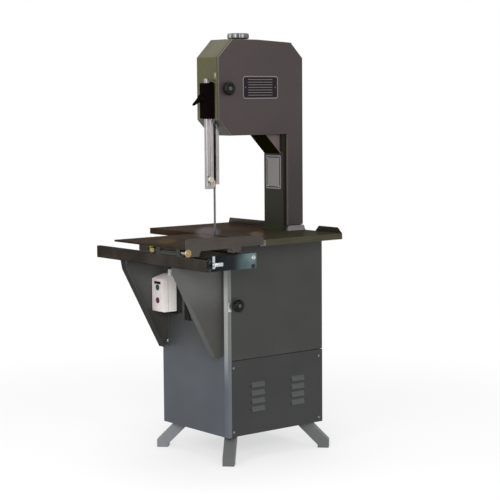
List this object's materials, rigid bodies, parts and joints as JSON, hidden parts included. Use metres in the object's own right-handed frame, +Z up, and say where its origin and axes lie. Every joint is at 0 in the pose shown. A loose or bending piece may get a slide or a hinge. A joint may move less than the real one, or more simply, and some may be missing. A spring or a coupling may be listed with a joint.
{
  "type": "vertical band saw",
  "caption": "Floor-standing vertical band saw with a chamfered head and column, a fixed table, a sliding table on rails, a louvred cabinet and splayed square-tube legs.",
  "frame": {"origin": "on the floor, under the middle of the whole saw's bounding box", "axes": "+X to the right along the cabinet's door face, +Y to the back along the sliding table's travel, +Z up"},
  "size_m": [0.8912, 0.853, 1.778],
  "materials": {
    "cabinet_paint": "semi-gloss dark grey paint",
    "head_paint": "semi-gloss dark grey paint",
    "leg_paint": "satin grey paint",
    "stainless": "polished stainless sheet",
    "bright_steel": "bright machined steel",
    "rail_steel": "dark stainless tube",
    "cast_iron": "machined casting",
    "brass": "turned brass",
    "black_plastic": "black moulded plastic",
    "white_plastic": "off-white moulded plastic",
    "nylon": "beige nylon",
    "label": "plain pale plate",
    "badge_rim": "bright rim round a plain field",
    "foot_metal": "ribbed light metal",
    "motor_paint": "satin blue-grey paint",
    "belt_rubber": "black rubber",
    "green_plastic": "dark green button",
    "red_plastic": "red button",
    "zinc": "zinc plated",
    "pale_metal": "pale cast aluminium"
  },
  "bodies": {
    "base": {"cabinet_shell": "cabinet_paint", "legs": "leg_paint", "louvre_panel": "cabinet_paint", "louvre_screws": "zinc", "door_hinges": "bright_steel", "door_keepers": "zinc", "table_top": "stainless", "table_upstands": "stainless", "table_supports": "leg_paint", "head_shell": "head_paint", "column_shell": "head_paint", "column_brace": "head_paint", "column_foot": "foot_metal", "notice_plate": "label", "outer_rail": "rail_steel", "inner_rail": "rail_steel", "cross_plate": "stainless", "rail_brackets": "cabinet_paint", "rail_bolts": "zinc", "guide_clamp": "black_plastic", "tension_ways": "bright_steel", "saw_blade": "bright_steel", "bearing_shelf": "cabinet_paint", "shaft_bearings": "cast_iron", "motor": "motor_paint", "drive_belt": "belt_rubber", "lower_guide": "nylon", "switch_box": "white_plastic", "switch_bracket": "cabinet_paint", "cable_glands": "white_plastic"},
    "cabinet_door": {"cabinet_door": "cabinet_paint"},
    "cabinet_latch": {"cabinet_door_knob": "black_plastic", "cabinet_door_latch": "bright_steel"},
    "head_door": {"head_door": "head_paint", "badge_plate": "badge_rim"},
    "head_latch": {"head_door_knob": "black_plastic", "head_door_latch": "bright_steel"},
    "carriage": {"carriage_plate": "stainless", "carriage_fence": "stainless", "carriage_hangers": "bright_steel"},
    "roller_of": {"roller_outer_front": "brass"},
    "roller_or": {"roller_outer_rear": "brass"},
    "roller_if": {"roller_inner_front": "brass"},
    "roller_ir": {"roller_inner_rear": "brass"},
    "rail_lock": {"rail_lock": "zinc"},
    "guide": {"guide_bar": "bright_steel", "blade_guard": "stainless", "guide_pads": "nylon"},
    "clamp": {"clamp_lever": "black_plastic", "clamp_stud": "bright_steel"},
    "tension_screw": {"tension_screw": "bright_steel", "tension_handwheel": "pale_metal"},
    "upper_carrier": {"tension_block": "cast_iron"},
    "upper_wheel": {"upper_wheel": "cast_iron"},
    "lower_wheel": {"lower_wheel": "cast_iron", "drive_shaft": "bright_steel"},
    "motor_rotor": {"motor_pulley": "cast_iron"},
    "start_button": {"start_button": "green_plastic"},
    "stop_button": {"stop_button": "red_plastic"}
  },
  "joints": [
    {"name": "cabinet_door_hinge", "type": "hinge", "parent": "base", "child": "cabinet_door", "pos_m": [0.40312, -0.2255, 0.66], "axis": [0, 0, 1], "range_deg": [0, 100]},
    {"name": "cabinet_latch_turn", "type": "hinge", "parent": "cabinet_door", "child": "cabinet_latch", "pos_m": [-0.06239, -0.2305, 0.66], "axis": [0, -1, 0], "range_deg": [0, 90]},
    {"name": "head_door_hinge", "type": "hinge", "parent": "base", "child": "head_door", "pos_m": [0.40262, -0.1025, 1.545], "axis": [0, 0, 1], "range_deg": [0, 105]},
    {"name": "head_latch_turn", "type": "hinge", "parent": "head_door", "child": "head_latch", "pos_m": [-0.00739, -0.1075, 1.545], "axis": [0, -1, 0], "range_deg": [0, 90]},
    {"name": "carriage_slide", "type": "slide", "parent": "base", "child": "carriage", "axis": [0, 1, 0], "range_m": [-0.1, 0.31]},
    {"name": "roller_of_roll", "type": "hinge", "parent": "carriage", "child": "roller_of", "pos_m": [-0.33838, -0.2915, 0.8993], "axis": [1, 0, 0], "range_deg": [-1120, 370]},
    {"name": "roller_or_roll", "type": "hinge", "parent": "carriage", "child": "roller_or", "pos_m": [-0.33838, -0.0365, 0.8993], "axis": [1, 0, 0], "range_deg": [-1120, 370]},
    {"name": "roller_if_roll", "type": "hinge", "parent": "carriage", "child": "roller_if", "pos_m": [-0.12039, -0.2915, 0.8993], "axis": [1, 0, 0], "range_deg": [-1120, 370]},
    {"name": "roller_ir_roll", "type": "hinge", "parent": "carriage", "child": "roller_ir", "pos_m": [-0.12039, -0.0365, 0.8993], "axis": [1, 0, 0], "range_deg": [-1120, 370]},
    {"name": "rail_lock_turn", "type": "hinge", "parent": "base", "child": "rail_lock", "pos_m": [-0.31539, -0.4095, 0.861], "axis": [0, -1, 0], "range_deg": [-90, 90]},
    {"name": "guide_slide", "type": "slide", "parent": "base", "child": "guide", "axis": [0, 0, 1], "range_m": [-0.1, 0.06]},
    {"name": "clamp_turn", "type": "hinge", "parent": "base", "child": "clamp", "pos_m": [-0.10838, -0.0595, 1.503], "axis": [1, 0, 0], "range_deg": [-60, 60]},
    {"name": "tension_turn", "type": "hinge", "parent": "base", "child": "tension_screw", "pos_m": [0.14161, 0.0005, 1.76], "axis": [0, 0, 1], "range_deg": [-721, 721]},
    {"name": "tension_slide", "type": "slide", "parent": "base", "child": "upper_carrier", "axis": [0, 0, 1], "range_m": [-0.005, 0.005], "deforming": ["saw_blade"]},
    {"name": "upper_wheel_spin", "type": "hinge", "parent": "upper_carrier", "child": "upper_wheel", "pos_m": [0.14161, -0.0595, 1.54], "axis": [0, 1, 0], "continuous": true},
    {"name": "lower_wheel_spin", "type": "hinge", "parent": "base", "child": "lower_wheel", "pos_m": [0.14161, -0.0595, 0.64], "axis": [0, 1, 0], "continuous": true},
    {"name": "motor_spin", "type": "hinge", "parent": "base", "child": "motor_rotor", "pos_m": [0.21962, 0.1735, 0.235], "axis": [0, 1, 0], "continuous": true},
    {"name": "start_press", "type": "slide", "parent": "base", "child": "start_button", "axis": [1, 0, 0], "range_m": [0, 0.004], "stiffness_N_per_m": 400},
    {"name": "stop_press", "type": "slide", "parent": "base", "child": "stop_button", "axis": [1, 0, 0], "range_m": [0, 0.004], "stiffness_N_per_m": 400}
  ],
  "couplings": [
    {"joint": "roller_of_roll", "follows": "carriage_slide", "rad_per_m": -62.5},
    {"joint": "roller_or_roll", "follows": "carriage_slide", "rad_per_m": -62.5},
    {"joint": "roller_if_roll", "follows": "carriage_slide", "rad_per_m": -62.5},
    {"joint": "roller_ir_roll", "follows": "carriage_slide", "rad_per_m": -62.5},
    {"joint": "tension_turn", "follows": "tension_slide", "rad_per_m": 2513.3},
    {"joint": "upper_wheel_spin", "follows": "lower_wheel_spin", "ratio": 1},
    {"joint": "motor_spin", "follows": "lower_wheel_spin", "ratio": 2.5881}
  ]
}
